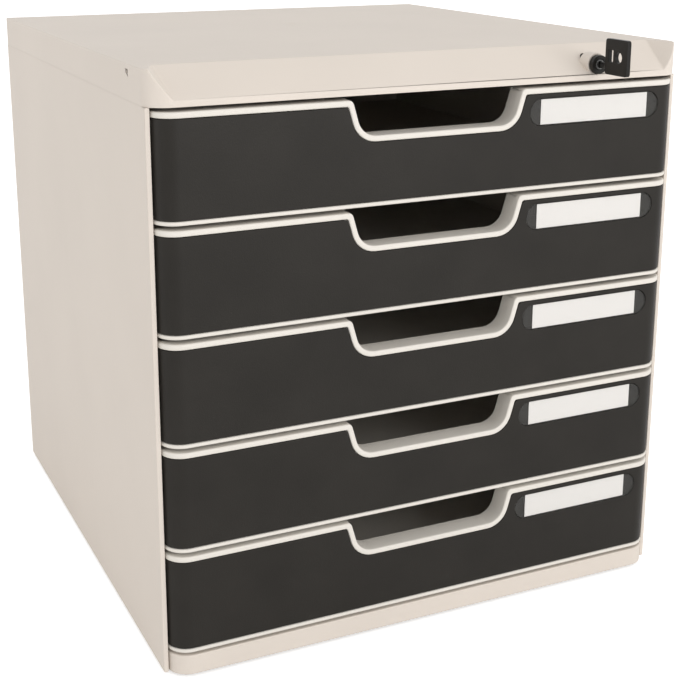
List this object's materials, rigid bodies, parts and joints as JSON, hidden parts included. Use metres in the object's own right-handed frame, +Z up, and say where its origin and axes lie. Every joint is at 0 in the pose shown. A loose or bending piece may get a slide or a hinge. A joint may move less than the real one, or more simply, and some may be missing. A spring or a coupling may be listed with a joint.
{
  "type": "desktop file drawer cabinet",
  "caption": "Desktop drawer cabinet for A4 papers: moulded shell, equal pull-out trays with finger notches and label holders, and a key lock that works a vertical locking bar.",
  "frame": {"origin": "centre of the bounding box on the plane that the feet stand on", "axes": "+X to the right as seen from the front, +Y to the back, +Z up; the drawers open towards -Y"},
  "size_m": [0.32, 0.3622, 0.3349],
  "materials": {
    "shell_plastic": "beige-grey moulded polystyrene, fine matt grain",
    "black_plastic": "black moulded plastic, fine satin grain",
    "clear_plastic": "clear polished cover strip",
    "label_paper": "white card",
    "plated_steel": "zinc-plated steel",
    "foot_rubber": "matt rubber"
  },
  "bodies": {
    "cabinet": {"base_panel": "shell_plastic", "left_side_panel": "shell_plastic", "right_side_panel": "shell_plastic", "back_panel": "shell_plastic", "top_cover": "shell_plastic", "bar_guide_upper": "shell_plastic", "bar_guide_lower": "shell_plastic", "foot_front_left": "foot_rubber", "foot_front_right": "foot_rubber", "foot_rear_left": "foot_rubber", "foot_rear_right": "foot_rubber", "lock_barrel": "black_plastic", "lock_nut": "plated_steel"},
    "drawer_1": {"tray_1": "shell_plastic", "front_panel_1": "black_plastic", "label_window_1": "clear_plastic", "label_card_1": "label_paper"},
    "drawer_2": {"tray_2": "shell_plastic", "front_panel_2": "black_plastic", "label_window_2": "clear_plastic", "label_card_2": "label_paper"},
    "drawer_3": {"tray_3": "shell_plastic", "front_panel_3": "black_plastic", "label_window_3": "clear_plastic", "label_card_3": "label_paper"},
    "drawer_4": {"tray_4": "shell_plastic", "front_panel_4": "black_plastic", "label_window_4": "clear_plastic", "label_card_4": "label_paper"},
    "drawer_5": {"tray_5": "shell_plastic", "front_panel_5": "black_plastic", "label_window_5": "clear_plastic", "label_card_5": "label_paper"},
    "key": {"lock_core": "plated_steel", "lock_cam": "plated_steel", "cam_screw": "plated_steel", "key_blade": "plated_steel", "key_head": "black_plastic"},
    "lock_bar": {"lock_bar": "plated_steel"}
  },
  "joints": [
    {"name": "drawer_1_slide", "type": "slide", "parent": "cabinet", "child": "drawer_1", "axis": [0, -1, 0], "range_m": [0, 0.245]},
    {"name": "drawer_2_slide", "type": "slide", "parent": "cabinet", "child": "drawer_2", "axis": [0, -1, 0], "range_m": [0, 0.245]},
    {"name": "drawer_3_slide", "type": "slide", "parent": "cabinet", "child": "drawer_3", "axis": [0, -1, 0], "range_m": [0, 0.245]},
    {"name": "drawer_4_slide", "type": "slide", "parent": "cabinet", "child": "drawer_4", "axis": [0, -1, 0], "range_m": [0, 0.245]},
    {"name": "drawer_5_slide", "type": "slide", "parent": "cabinet", "child": "drawer_5", "axis": [0, -1, 0], "range_m": [0, 0.245]},
    {"name": "key_turn", "type": "hinge", "parent": "cabinet", "child": "key", "pos_m": [0.1014, -0.15595, 0.3196], "axis": [0, -1, 0], "range_deg": [0, 90]},
    {"name": "lock_bar_lift", "type": "slide", "parent": "cabinet", "child": "lock_bar", "axis": [0, 0, 1], "range_m": [0, 0.00565]}
  ],
  "couplings": [
    {"joint": "key_turn", "follows": "lock_bar_lift", "rad_per_m": 278}
  ]
}
